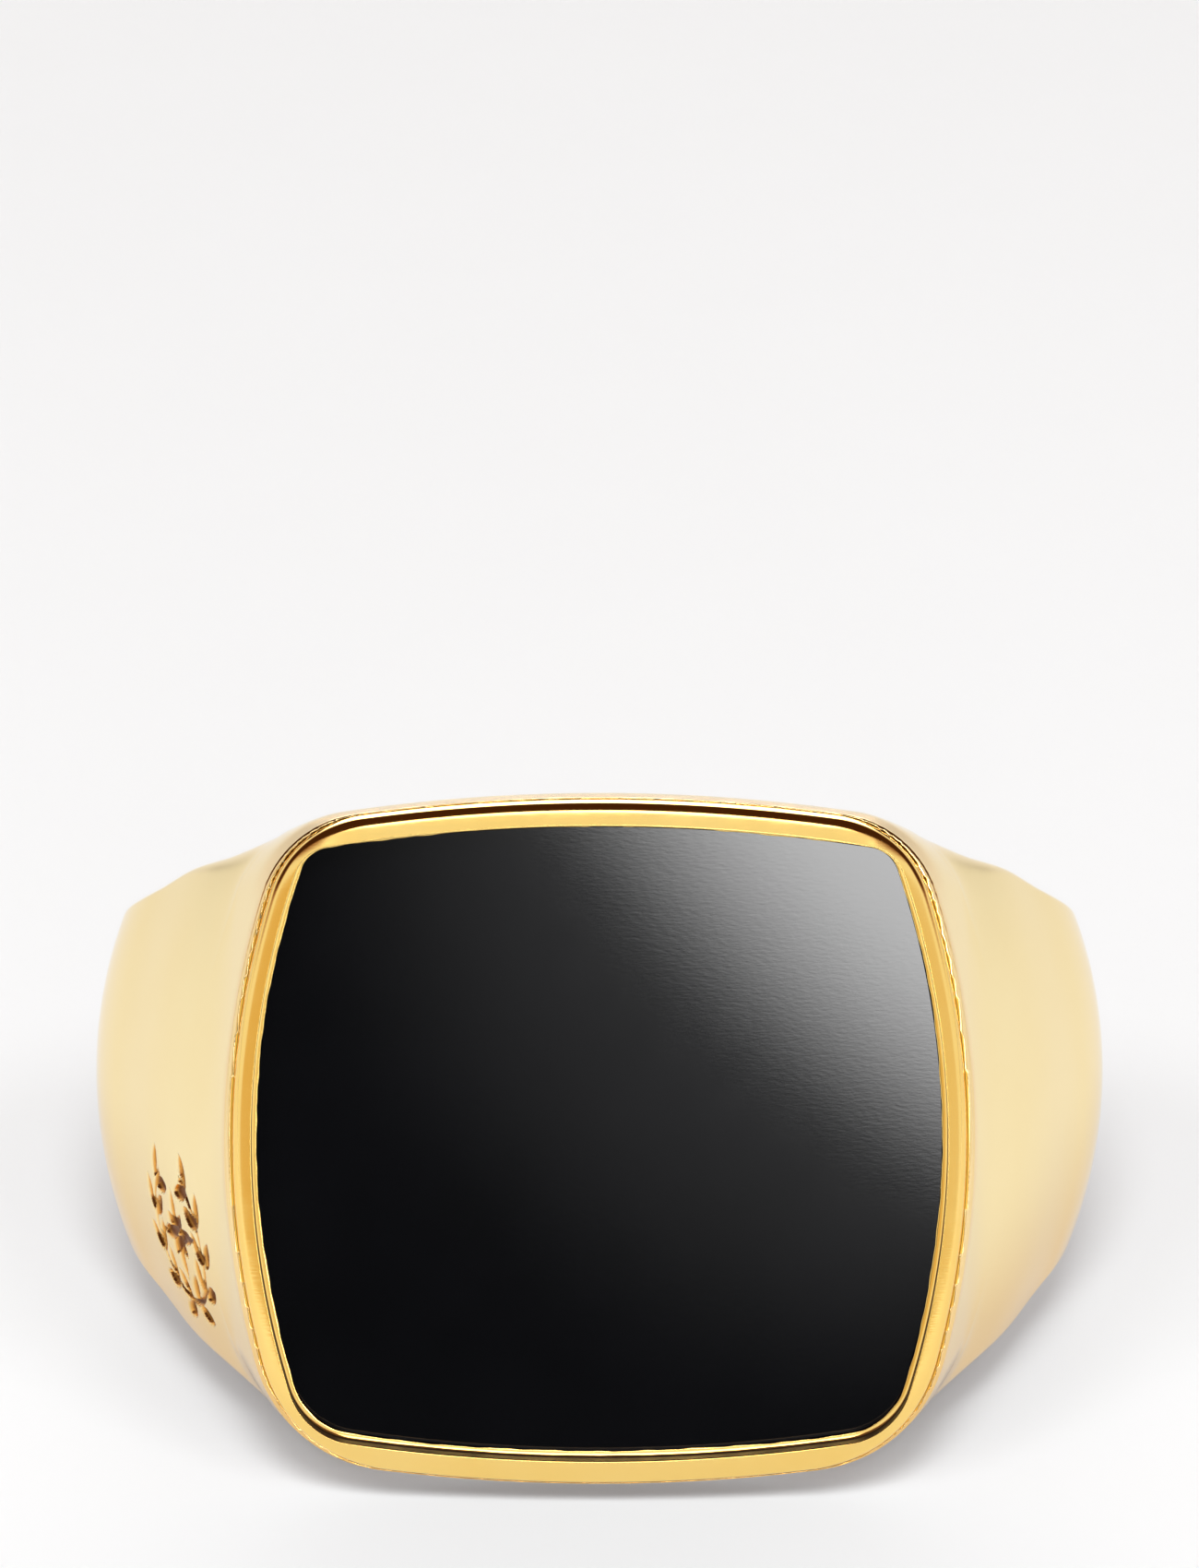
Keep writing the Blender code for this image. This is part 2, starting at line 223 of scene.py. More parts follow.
def beyond_metal(angle, distance, height):
    """Distance outside the casting: band and block joined, cut flat in front and bored for the finger."""
    turned = np.abs(angle)
    x = distance * np.sin(turned)
    y = -distance * np.cos(turned)
    band = beyond_band(turned, distance, height)
    fillet = CREASE + CREASE_GROWTH * ease(-10.5, -7.5, y)
    joined = soft_union(band, beyond_block(x, y, height), fillet)
    fronted = rounded_overlap(joined, FRONT_OF_CASTING - y, FRONT_EDGE)
    comfort = COMFORT * (np.abs(height) / band_half_height(turned)) ** 4
    return rounded_overlap(fronted, FINGER_RADIUS + comfort - distance, HOLE_EDGE)


# %% [markdown]
# ## From distances to a mesh
# At each angle round the finger, the casting is cut by a half-plane. From a point inside that section, rays
# go out in all directions, and each is halved again and again until it ends on the surface. Rays are packed
# closer where the outline bends, and stations are packed closer where the shoulder will be engraved.
# Neighbouring sections are then joined by quads, so the mesh follows the flow of the metal.


# %% Rays to the surface
RAY_START = FINGER_RADIUS + 0.9  # inside the metal all round the ring
LONGEST_RAY = 14.0
FURTHEST_IN = 2.5  # a ray stops here on its way to the finger axis, well inside the finger hole
COARSE_RAYS = 721
SMOOTHED_OVER = 15
CUT_ZONE = (-5.4, -0.6)  # heights between which the shoulder is engraved
CUT_WEIGHT = 2.2
BEND_WEIGHT = 1.1


def section_points(angles, directions, halvings=32):
    """Distances and heights of the surface points met by each ray of each section."""
    near = np.zeros_like(directions)
    far = np.full_like(directions, LONGEST_RAY)
    inward = np.maximum(-np.cos(directions), 1e-6)
    far = np.where(np.cos(directions) < 0, np.minimum(far, FURTHEST_IN / inward), far)
    for _ in range(halvings):
        reach = (near + far) / 2
        distance = RAY_START + reach * np.cos(directions)
        outside = beyond_metal(angles, distance, reach * np.sin(directions)) > 0
        far = np.where(outside, reach, far)
        near = np.where(outside, near, reach)
    return RAY_START + near * np.cos(directions), near * np.sin(directions)


def packed_directions(stations, count):
    """Ray directions for each station, closer at the outline's bends and in the engraved zone."""
    coarse = np.linspace(-math.pi, math.pi, COARSE_RAYS)
    angles = np.repeat(stations[:, None], len(coarse), axis=1)
    directions = np.repeat(coarse[None, :], len(stations), axis=0)
    distance, height = section_points(angles, directions, halvings=18)
    step_r = np.diff(distance, axis=1)
    step_z = np.diff(height, axis=1)
    length = np.hypot(step_r, step_z)
    heading = np.unwrap(np.arctan2(step_z, step_r), axis=1)
    bend = np.abs(np.gradient(heading, axis=1))
    kernel = np.hanning(SMOOTHED_OVER) / np.hanning(SMOOTHED_OVER).sum()
    margin = SMOOTHED_OVER // 2
    bend = np.array([np.convolve(np.pad(row, margin, "wrap"), kernel, "valid") for row in bend])
    engraved = (height[:, :-1] < CUT_ZONE[1]) & (height[:, :-1] > CUT_ZONE[0])
    engraved &= distance[:, :-1] > FINGER_RADIUS + 1.2
    weight = length * (1 + CUT_WEIGHT * engraved) + BEND_WEIGHT * bend
    travelled = np.concatenate([np.zeros((len(stations), 1)), np.cumsum(weight, axis=1)], axis=1)
    shares = np.arange(count) / count
    rows = [np.interp(shares * total[-1], total, coarse) for total in travelled]
    return np.array(rows)


# %% [markdown]
# The stations are a degree apart round most of the ring. They are closest on the left shoulder, where the
# engraving needs fine steps, and fairly close where either shoulder meets the head.


# %% Stations round the ring
def spaced(start, end, step):
    return np.linspace(start, end, max(2, round(abs(end - start) / step)), endpoint=False)


station_degrees = np.concatenate([
    spaced(-180, -66, 1.0), spaced(-66, -40, 0.16), spaced(-40, -26, 0.35), spaced(-26, 26, 1.0),
    spaced(26, 48, 0.35), spaced(48, 180, 1.0),
])
stations = np.radians(station_degrees)
RAYS = 330
directions = packed_directions(stations, RAYS)
station_grid = np.repeat(stations[:, None], RAYS, axis=1)
surface_distance, surface_height = section_points(station_grid, directions)
print("casting surface:", station_grid.size, "points,", len(stations), "stations")

# %% [markdown]
# ## Building the mesh
# Every point of a section is joined to the same point of the next section. The row of sections closes on
# itself, as the ring does. A small helper keeps this in one place, because the stone's frame is swept in
# the same way.


# %% Grids of points into meshes
def to_world(points):
    """Points about the ring's own axes, in mm, as points in the scene."""
    turned = np.asarray(points) @ np.array(ring_turn.to_3x3()).T
    return turned * MM + np.array(ring_centre)


def grid_mesh(name, grid):
    """A mesh from a grid of points that closes on itself both ways, with its normals facing out."""
    rows, columns = grid.shape[:2]
    index = np.arange(rows * columns).reshape(rows, columns)
    below = np.roll(index, -1, axis=0)
    quads = np.stack([index, np.roll(index, -1, axis=1), np.roll(below, -1, axis=1), below], axis=-1)
    mesh = bpy.data.meshes.new(name)
    mesh.from_pydata(to_world(grid.reshape(-1, 3)).tolist(), [], quads.reshape(-1, 4).tolist())
    shape = bmesh.new()
    shape.from_mesh(mesh)
    if shape.calc_volume(signed=True) < 0:
        bmesh.ops.reverse_faces(shape, faces=shape.faces)
    shape.to_mesh(mesh)
    shape.free()
    return mesh


def new_piece(name, mesh, *nodes):
    """A visible piece of the ring that takes the place of the model's plain one."""
    piece = bpy.data.objects.new(name, mesh)
    bpy.context.scene.collection.objects.link(piece)
    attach(piece, "root")
    if nodes:
        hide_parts(*nodes)
    mesh.shade_smooth()
    return piece


# %% [markdown]
# ## The engraving on the left shoulder
# Signet rings often carry a hand-cut device on the shoulder. Here it is a plain laurel wreath round an
# eight-pointed star. A graver cuts a leaf as a shallow almond-shaped trough, deepest along its middle. The
# points of the casting that lie inside a leaf are pushed in, so the cuts catch the light like real ones.


# %% Leaves, stems and a star as troughs
CUT_DEPTH = 0.15
ENGRAVING_ANGLE = math.radians(-51.9)
ENGRAVING_HEIGHT = -2.85
WREATH_RADIUS = 1.62
LEAF_PAIRS = 5
FIRST_LEAF = -72  # degrees round the wreath, and the step from one pair of leaves to the next
LEAF_STEP = 32
LEAF_LEANS = ((0.60, 0.34), (-0.60, -0.31))  # lean, and reach from the stem, of an outer and an inner leaf
LEAF_HALF_SIZE = (0.46, 0.21)
STEM_HALF_WIDTH = 0.10
STEM_END = 62  # degrees, so the wreath stays open at the top
STAR_POINTS = (0.56, 0.36)  # long and short points in turn
STAR_HALF_WIDTH = 0.19


def almond(u, v, at, turn, half_length, half_width):
    """Distance inside an almond-shaped leaf (positive inside), for points u, v on the shoulder."""
    along = (u - at[0]) * math.cos(turn) + (v - at[1]) * math.sin(turn)
    across = (v - at[1]) * math.cos(turn) - (u - at[0]) * math.sin(turn)
    offset = (half_length**2 - half_width**2) / (2 * half_width)
    return offset + half_width - np.hypot(along, np.abs(across) + offset)


def wreath_and_star(u, v):
    """How far inside the nearest cut each point lies."""
    inside = np.full_like(u, -1.0)
    for side in (-1, 1):
        for pair in range(LEAF_PAIRS):
            bearing = math.radians(FIRST_LEAF + LEAF_STEP * pair)
            for lean_out, reach in LEAF_LEANS:
                radius = WREATH_RADIUS + reach
                at = (side * radius * math.cos(bearing), radius * math.sin(bearing))
                turn = bearing + math.pi / 2 - lean_out
                turn = turn if side > 0 else math.pi - turn
                inside = np.maximum(inside, almond(u, v, at, turn, *LEAF_HALF_SIZE))
    ring = np.hypot(u, v)
    bearing = np.degrees(np.arctan2(v, np.abs(u)))
    stem = np.where(bearing < STEM_END, STEM_HALF_WIDTH - np.abs(ring - WREATH_RADIUS), -1)
    inside = np.maximum(inside, stem)
    for point in range(8):
        turn = point * math.pi / 4
        length = STAR_POINTS[point % 2]
        at = (length * math.cos(turn), length * math.sin(turn))
        inside = np.maximum(inside, almond(u, v, at, turn, length, STAR_HALF_WIDTH))
    return inside


# %% [markdown]
# The wreath is drawn on the flank as if on a small card held against it: one way along the band, the other
# way up. Only the outside of the casting is cut, and only near the card. How deep each point is cut is kept
# for the finish, which darkens the cuts. A lesser share, of painted shade, goes to the metal beside the
# frame and to the corners of the block, the creases where shade falls.

# %% Cut the engraving, and paint shade in the creases
CARD_RADIUS = 3
CUT_WALL = (-0.01, 0.075)  # a cut goes from nothing to its full depth between these distances from its edge
FACES_DOWN = -0.25  # the domed flank faces a little downwards here, so the cuts go in and slightly up
PAINTED_CREASE_SHADE = 0.15
grid_x = surface_distance * np.sin(station_grid)
grid_y = -surface_distance * np.cos(station_grid)
casting = np.stack([grid_x, grid_y, surface_height], axis=-1)
centre_distance, _ = section_points(np.array([[ENGRAVING_ANGLE]]), np.array([[0.0]]))
card_x = centre_distance[0, 0] * math.sin(ENGRAVING_ANGLE)
card_y = -centre_distance[0, 0] * math.cos(ENGRAVING_ANGLE)
card_along = (-math.cos(shoulder_turn), math.sin(shoulder_turn))
u = (grid_x - card_x) * card_along[0] + (grid_y - card_y) * card_along[1]
v = surface_height - ENGRAVING_HEIGHT
on_flank = (np.hypot(u, v) < CARD_RADIUS) & (surface_distance > FINGER_RADIUS + 1.0) & (grid_x < 0)
cut_share = np.where(on_flank, ease(*CUT_WALL, wreath_and_star(u, v)), 0)
flank_normal = np.array([-math.sin(shoulder_turn), -math.cos(shoulder_turn), 0.0])
casting -= CUT_DEPTH * cut_share[..., None] * (flank_normal + [0, 0, FACES_DOWN])
print("points in the cuts:", int((cut_share > 0.1).sum()))
# Painted shade: the metal just beside the frame and in the block's corners is darkened a little, as shade
# in the creases.
behind_front = grid_y - FRONT_OF_CASTING
beside_frame = 1 - ease(0.1, 0.7, behind_front)
in_corner = (1 - ease(0.3, 2.2, behind_front)) * ease(4.5, 6.5, np.abs(surface_height))
dark_share = np.maximum(cut_share, PAINTED_CREASE_SHADE * np.maximum(beside_frame, in_corner))

# %% [markdown]
# ## The seat for the stone's frame
# The frame is a separate piece, soldered into a flat-bottomed seat in the casting. Cutting the seat with a
# Boolean keeps the thin lip of metal that laps each side of the frame, with a fine seam between the two.
# Deep down, the frame and its seat are tucked in together, because the head leans in there.


# %% Outline points of the frame
def outline_reach(bearings, half_width, half_height, corner):
    """How far out a cushion outline lies in each direction from its middle, found by halving."""
    near, far = np.zeros_like(bearings), np.full_like(bearings, LONGEST_RAY)
    for _ in range(40):
        reach = (near + far) / 2
        x, z = reach * np.cos(bearings), reach * np.sin(bearings)
        outside = beyond_cushion(x, z, half_width, half_height, corner) > 0
        far, near = np.where(outside, reach, far), np.where(outside, near, reach)
    return near


def cushion_ring(bearings, half_width, half_height, corner):
    """Points on a cushion outline in the given directions, and the outward direction at each."""
    reach = outline_reach(bearings, half_width, half_height, corner)
    x, z = reach * np.cos(bearings), reach * np.sin(bearings)
    heading_x = np.roll(x, -1) - np.roll(x, 1)
    heading_z = np.roll(z, -1) - np.roll(z, 1)
    length = np.hypot(heading_x, heading_z)
    return x, z, heading_z / length, -heading_x / length


OUTLINE_POINTS = 560
OPENING_HALF_WIDTH = 8.03
OPENING_HALF_HEIGHT = 7.39
HEAD_OUTLINE = (HEAD_HALF_WIDTH, HEAD_HALF_HEIGHT, HEAD_CORNER)
fine = np.linspace(0, 2 * math.pi, 4 * OUTLINE_POINTS + 1)
fine_reach = outline_reach(fine, *HEAD_OUTLINE)
steps = np.hypot(np.diff(fine_reach * np.cos(fine)), np.diff(fine_reach * np.sin(fine)))
travelled = np.concatenate([[0], np.cumsum(steps)])
bearings = np.interp(np.linspace(0, travelled[-1], OUTLINE_POINTS, endpoint=False), travelled, fine)
outline_x, outline_z, out_x, out_z = cushion_ring(bearings, *HEAD_OUTLINE)
opening_x, opening_z, open_x, open_z = cushion_ring(
    bearings, OPENING_HALF_WIDTH, OPENING_HALF_HEIGHT, OPENING_CORNER
)
print("frame, mm:", round(2 * outline_x.max(), 2), "by", round(2 * outline_z.max(), 2))


# %% [markdown]
# The seat is a closed block with the frame's own outline, a hair larger all round. It is taken away from
# the casting, and then it is thrown away.


# %% Make the casting and cut the seat
SEAM = 0.003
TUCK = 0.17  # per mm of depth
TUCK_START = -12.0


def tuck(depth):
    """How far the sides of the frame and its seat have come in at a depth."""
    return TUCK * max(0.0, depth - TUCK_START)


def seat_block(name, depths):
    """A closed block that fills the seat, with one turn of the outline at each depth."""
    shape = bmesh.new()
    rows = []
    for depth in depths:
        reach = SEAM - tuck(depth)
        x, z = outline_x + reach * out_x, outline_z + reach * out_z
        points = np.stack([x, np.full_like(x, depth), z], -1)
        rows.append([shape.verts.new(point) for point in to_world(points)])
    for row, following in zip(rows, rows[1:]):
        for i in range(OUTLINE_POINTS):
            j = (i + 1) % OUTLINE_POINTS
            shape.faces.new((row[i], row[j], following[j], following[i]))
    shape.faces.new(rows[0])
    shape.faces.new(rows[-1])
    bmesh.ops.recalc_face_normals(shape, faces=shape.faces)
    mesh = bpy.data.meshes.new(name)
    shape.to_mesh(mesh)
    shape.free()
    return mesh


casting_mesh = grid_mesh("cast_shank", casting)
# The layer holds how deep each point is cut, and the painted shade beside the frame and in the block's
# corners.
cuts = casting_mesh.attributes.new("engraved", "FLOAT", "POINT")
cuts.data.foreach_set("value", dark_share.ravel().astype(np.float32))
shank = new_piece("cast_shank", casting_mesh, "shank")
seat_mesh = seat_block("seat", (LANDING_DEPTH, TUCK_START, RIM_DEPTH - 0.5))
seat = bpy.data.objects.new("seat", seat_mesh)
bpy.context.scene.collection.objects.link(seat)
seat_cut = shank.modifiers.new("seat", "BOOLEAN")
seat_cut.operation = "DIFFERENCE"
seat_cut.object = seat
seat_cut.solver = "MANIFOLD"
bpy.context.view_layer.update()
depsgraph = bpy.context.evaluated_depsgraph_get()
cut_mesh = bpy.data.meshes.new_from_object(shank.evaluated_get(depsgraph))
shank.modifiers.clear()
shank.data = cut_mesh
bpy.data.objects.remove(seat)
print("casting with its seat:", len(cut_mesh.polygons), "faces")

# %% [markdown]
# ## The frame round the stone
# The frame is a cushion-shaped ring of gold. Its outer edge has a thin steep bevel and then a round, and
# its narrow face tilts outwards by a few degrees. The profile is walked in small steps: each step has a
# length and a tilt, from 90 degrees (straight up the side) through 0 (flat across the face) to -90 (down
# the inner wall).

# %% The rim's rounded face
OUTER_ROUND = 0.24
INNER_ROUND = 0.03
FACE_LENGTH = 0.26
FACE_TILT = 8
BEVEL = 0.30
BEVEL_TILT = 81.0
BEVEL_STEPS, OUTER_STEPS, FACE_STEPS, INNER_STEPS = 4, 14, 8, 8
tilt_steps = [
    [90], np.full(BEVEL_STEPS, BEVEL_TILT), np.linspace(80, 13, OUTER_STEPS),
    np.linspace(12, FACE_TILT, FACE_STEPS), np.linspace(FACE_TILT, -90, INNER_STEPS + 1)[1:],
]
tilts = np.radians(np.concatenate(tilt_steps))
step_lengths = np.concatenate([
    np.full(BEVEL_STEPS, BEVEL / BEVEL_STEPS),
    np.full(OUTER_STEPS, OUTER_ROUND * math.radians(70) / OUTER_STEPS),
    np.full(FACE_STEPS, FACE_LENGTH / FACE_STEPS),
    np.full(INNER_STEPS, INNER_ROUND * math.radians(98) / INNER_STEPS),
])
middle_tilts = (tilts[1:] + tilts[:-1]) / 2
inset = np.concatenate([[0], np.cumsum(np.cos(middle_tilts) * step_lengths)])
rise = np.concatenate([[0], np.cumsum(np.sin(middle_tilts) * step_lengths)])
print("rim width before fitting, mm:", round(inset[-1], 2))

# %% [markdown]
# The profile is now swept round the outline. Behind the face, the inner wall is slightly undercut, and it
# is painted nearly black as shade. At its foot the setter has rubbed the metal over the stone with a
# burnisher, which leaves a thin bright ledge that is never quite even, so its width wanders a little, in a
# way that repeats after one turn.

# %% Sweep the frame's profile
LIP_WIDTH = 0.105
LIP_TOP = -12.18
LIP_EDGE = -12.15
UNDERCUT = 0.018  # the inner wall leans back by this much, so little of it shows at the sides
WALL_DEPTHS = (-12.91, -12.75, -12.5, LIP_TOP)
LIP_STEPS = 8
LIP_ROUND = 0.8  # below 1 the ledge falls away sooner
turn = np.arange(OUTLINE_POINTS) / OUTLINE_POINTS * 2 * math.pi
lip_wander = 0.016 * np.sin(9 * turn + 1.0) * np.sin(4 * turn)
lip_wander += 0.007 * np.sin(47 * turn) + 0.004 * np.sin(101 * turn + 2)


def frame_row(share, reach, depth):
    """One turn of the profile: share of the way from outline to opening, and reach past the opening."""
    x = outline_x + (opening_x - outline_x) * share - reach * open_x
    z = outline_z + (opening_z - outline_z) * share - reach * open_z
    return np.stack([x, np.full(OUTLINE_POINTS, depth), z], -1)


rows = [frame_row(0, tuck(depth), depth) for depth in (COLLET_BACK, -11.3, TUCK_START, -12.3)]
rows += [frame_row(i / inset[-1], 0, RIM_DEPTH + rise.max() - r) for i, r in zip(inset, rise)]
wall_start = len(rows)
for i, depth in enumerate(WALL_DEPTHS, 1):
    rows.append(frame_row(1, -UNDERCUT * i / len(WALL_DEPTHS), depth))
wall_end = len(rows)
for share in np.linspace(0, 1, LIP_STEPS)[1:]:
    reach = (LIP_WIDTH + lip_wander) * share - UNDERCUT * (1 - share)
    depth = LIP_TOP + (LIP_EDGE - LIP_TOP) * math.sin(share * math.pi / 2) ** LIP_ROUND
    rows.append(frame_row(1, reach, depth))
rows.append(frame_row(1, (LIP_WIDTH + lip_wander) * 0.97, LIP_EDGE + 0.015))
rows += [frame_row(1, 0, depth) for depth in (LIP_EDGE + 0.04, -11.9, -11.3, COLLET_BACK)]
frame_grid = np.array(rows)
frame_mesh = grid_mesh("stone_frame", frame_grid)
# Painted shade: the rows of the inner wall get a full share, which the finish turns nearly black.
painted_wall_shade = np.zeros(frame_grid.shape[:2], np.float32)
painted_wall_shade[wall_start:wall_end] = 1
frame_mesh.attributes.new("engraved", "FLOAT", "POINT").data.foreach_set("value", painted_wall_shade.ravel())
collet = new_piece("stone_frame", frame_mesh, "collet")
print("frame:", len(collet.data.polygons), "faces")

# %% [markdown]
# ## The onyx tablet
# Onyx is cut as a flat tablet and lapped to a mirror. A lap always leaves the face very slightly domed,
# which is why a reflection on it fades from one side to the other instead of filling it evenly. Its edge is
# broken with a tiny bevel so that it doesn't chip. Rings of the outline, drawn in towards the middle, give
# a fine even mesh.

# %% Build the tablet
STONE_BACK = -11.10
STONE_BEVEL = 0.08
FACE_RADIUS = 316.0  # the face is a very shallow part of a ball
FACE_BULGE = 0.10  # so its middle stands this far in front of a flat face
STONE_CLEARANCE = 0.04
stone_x = opening_x - STONE_CLEARANCE * open_x
stone_z = opening_z - STONE_CLEARANCE * open_z


def stone_row(scale, inset, depth, domed=False):
    x = (stone_x - inset * open_x) * scale
    z = (stone_z - inset * open_z) * scale
    y = np.full(OUTLINE_POINTS, depth)
    if domed:
        y = y - FACE_BULGE + (x**2 + z**2) / (2 * FACE_RADIUS)
    return np.stack([x, y, z], -1)


def make_tablet():
    shape = bmesh.new()
    rows = [stone_row(1, 0.05, STONE_BACK), stone_row(1, 0, STONE_BACK - 0.05)]
    rows.append(stone_row(1, 0, TABLE_DEPTH + STONE_BEVEL, domed=True))
    for scale in (1, 0.995, 0.97, 0.93, 0.86, 0.78, 0.68, 0.57, 0.45, 0.33, 0.22, 0.12, 0.04):
        rows.append(stone_row(scale, STONE_BEVEL, TABLE_DEPTH, domed=True))
    rings = [[shape.verts.new(point) for point in to_world(row)] for row in rows]
    for ring, following in zip(rings, rings[1:]):
        for i in range(OUTLINE_POINTS):
            j = (i + 1) % OUTLINE_POINTS
            shape.faces.new((ring[i], ring[j], following[j], following[i]))
    shape.faces.new(rings[0])
    middle = shape.verts.new(to_world([[0, TABLE_DEPTH - FACE_BULGE, 0]])[0])
    for i in range(OUTLINE_POINTS):
        shape.faces.new((rings[-1][i], rings[-1][(i + 1) % OUTLINE_POINTS], middle))
    bmesh.ops.recalc_face_normals(shape, faces=shape.faces)
    mesh = bpy.data.meshes.new("onyx")
    shape.to_mesh(mesh)
    shape.free()
    return mesh


stone = new_piece("onyx", make_tablet(), "onyx_tablet")
stone.data.set_sharp_from_angle(angle=math.radians(25))
print("tablet:", len(stone.data.polygons), "faces")

# %% [markdown]
# ## Finishes
# Polished gold plate isn't perfect under a loupe: it has a faint haze of polishing lines, a little waviness
# from the buffing wheel, and darker metal down in the cuts, where the mop can't reach. Each finish below is
# made from noise at the size of those marks, so it holds up close to the ring as well as from afar. At a
# glancing angle, gold mirrors more and loses its colour, and the edge tint keeps some of its warmth there.
# Low on the band the tone is painted deeper, as a stand-in for warm light between the gold and the floor.


# %% A small helper for node materials
def new_finish(name, metallic, specular=0.5, edge_tint=(1.0, 1.0, 1.0)):
    material = bpy.data.materials.new(name)
    material.use_nodes = True
    shader = material.node_tree.nodes["Principled BSDF"]
    shader.inputs["Metallic"].default_value = metallic
    shader.inputs["Specular IOR Level"].default_value = specular
    shader.inputs["Specular Tint"].default_value = (*edge_tint, 1)
    return material, material.node_tree.nodes, material.node_tree.links, shader


def place_noise(nodes, links, size_mm, detail=3.0, stretch=(1, 1, 1)):
    """Noise whose lumps are about size_mm across, laid out over the piece itself."""
    place = nodes.new("ShaderNodeTexCoord")
    scale = nodes.new("ShaderNodeMapping")
    scale.inputs["Scale"].default_value = [s * 1000 / size_mm for s in stretch]
    noise = nodes.new("ShaderNodeTexNoise")
    noise.inputs["Scale"].default_value = 1.0
    noise.inputs["Detail"].default_value = detail
    links.new(place.outputs["Object"], scale.inputs["Vector"])
    links.new(scale.outputs["Vector"], noise.inputs["Vector"])
    return noise.outputs["Fac"]


def spread(nodes, links, value, low, high):
    """The value stretched so that its middle range runs from low to high."""
    stretch = nodes.new("ShaderNodeMapRange")
    stretch.inputs["From Min"].default_value = 0.3
    stretch.inputs["From Max"].default_value = 0.7
    stretch.inputs["To Min"].default_value = low
    stretch.inputs["To Max"].default_value = high
    links.new(value, stretch.inputs["Value"])
    return stretch.outputs["Result"]


def blend_colours(nodes, links, share, first, second):
    mix = nodes.new("ShaderNodeMix")
    mix.data_type = "RGBA"
    links.new(share, mix.inputs["Factor"])
    for socket, colour in ((mix.inputs["A"], first), (mix.inputs["B"], second)):
        if isinstance(colour, tuple):
            socket.default_value = (*colour, 1)
        else:
            links.new(colour, socket)
    return mix.outputs["Result"]


# %% [markdown]
# One recipe makes all four metals. The bare ones are rougher. The plated ones differ in tone, and the
# band's paler tone is partly painted sheen, standing in for the brightness gold catches at a glancing
# angle. In the plated ones, the share kept in "engraved" turns the metal orange at the edge of a cut, and
# then dark brown or nearly black, rougher and less metallic in its depth. In the cuts this is dark metal
# the mop can't reach. Beside the frame, in the block's corners and on the frame's inner wall it is painted
# shade.


# %% Polished gold plate
EDGE_TINT = (0.95, 0.89, 0.80)
CUT_AND_SHADE_EDGE_TONE = (0.80, 0.38, 0.08)
DEEP_TONE = (0.88, 0.60, 0.24)
DEEP_FROM, DEEP_TO = 6.5, 1.0  # heights above the floor, in mm


def gold_finish(name, light, deep, roughness_low, roughness_high, cut_and_shade_tone=None, deep_below=False):
    material, nodes, links, shader = new_finish(name, 1.0, 0.2, EDGE_TINT)
    patches = spread(nodes, links, place_noise(nodes, links, 2.6), 0, 1)
    colour = blend_colours(nodes, links, patches, light, deep)
    haze = place_noise(nodes, links, 0.5, 4.0)
    roughness = spread(nodes, links, haze, roughness_low, roughness_high)
    if deep_below:
        place = nodes.new("ShaderNodeTexCoord")
        height = nodes.new("ShaderNodeSeparateXYZ")
        low = nodes.new("ShaderNodeMapRange")
        low.interpolation_type = "SMOOTHSTEP"
        low.inputs["From Min"].default_value = DEEP_FROM * MM
        low.inputs["From Max"].default_value = DEEP_TO * MM
        links.new(place.outputs["Object"], height.inputs["Vector"])
        links.new(height.outputs["Z"], low.inputs["Value"])
        colour = blend_colours(nodes, links, low.outputs["Result"], colour, DEEP_TONE)
    # The share darkens the cuts, and it also paints shade beside the frame, in the block's corners and on
    # the frame's inner wall.
    if cut_and_shade_tone:
        cut = nodes.new("ShaderNodeAttribute")
        cut.attribute_name = "engraved"
        for start, end, tone in ((0.02, 0.40, CUT_AND_SHADE_EDGE_TONE), (0.35, 0.95, cut_and_shade_tone)):
            share = nodes.new("ShaderNodeMapRange")
            share.interpolation_type = "SMOOTHSTEP"
            share.inputs["From Min"].default_value = start
            share.inputs["From Max"].default_value = end
            links.new(cut.outputs["Fac"], share.inputs["Value"])
            colour = blend_colours(nodes, links, share.outputs["Result"], colour, tone)
        metal = nodes.new("ShaderNodeMath")
        metal.operation = "MULTIPLY_ADD"
        metal.inputs[1].default_value = -0.85
        metal.inputs[2].default_value = 1.0
        links.new(share.outputs["Result"], metal.inputs[0])
        links.new(metal.outputs["Value"], shader.inputs["Metallic"])
        rougher = nodes.new("ShaderNodeMath")
        rougher.operation = "MULTIPLY_ADD"
        rougher.inputs[1].default_value = 0.30
        links.new(cut.outputs["Fac"], rougher.inputs[0])
        links.new(roughness, rougher.inputs[2])
        roughness = rougher.outputs["Value"]
    lines = place_noise(nodes, links, 0.05, 2.0, (0.12, 0.5, 1.0))
    wheel = place_noise(nodes, links, 1.8, 1.0)
    fine = nodes.new("ShaderNodeBump")
    fine.inputs["Strength"].default_value = 0.03
    fine.inputs["Distance"].default_value = 0.00002
    links.new(lines, fine.inputs["Height"])
    wavy = nodes.new("ShaderNodeBump")
    wavy.inputs["Strength"].default_value = 0.10
    wavy.inputs["Distance"].default_value = 0.00004
    links.new(wheel, wavy.inputs["Height"])
    links.new(fine.outputs["Normal"], wavy.inputs["Normal"])
    links.new(colour, shader.inputs["Base Color"])
    links.new(roughness, shader.inputs["Roughness"])
    links.new(wavy.outputs["Normal"], shader.inputs["Normal"])
    return material


# Painted sheen, in part: the band's gold is paler than the frame's, standing in for the brightness its
# flanks catch at a glancing angle.
band_gold = gold_finish(
    "gold_plate", (1.0, 0.85, 0.48), (0.99, 0.83, 0.45), 0.06, 0.11,
    cut_and_shade_tone=(0.16, 0.050, 0.010), deep_below=True,
)
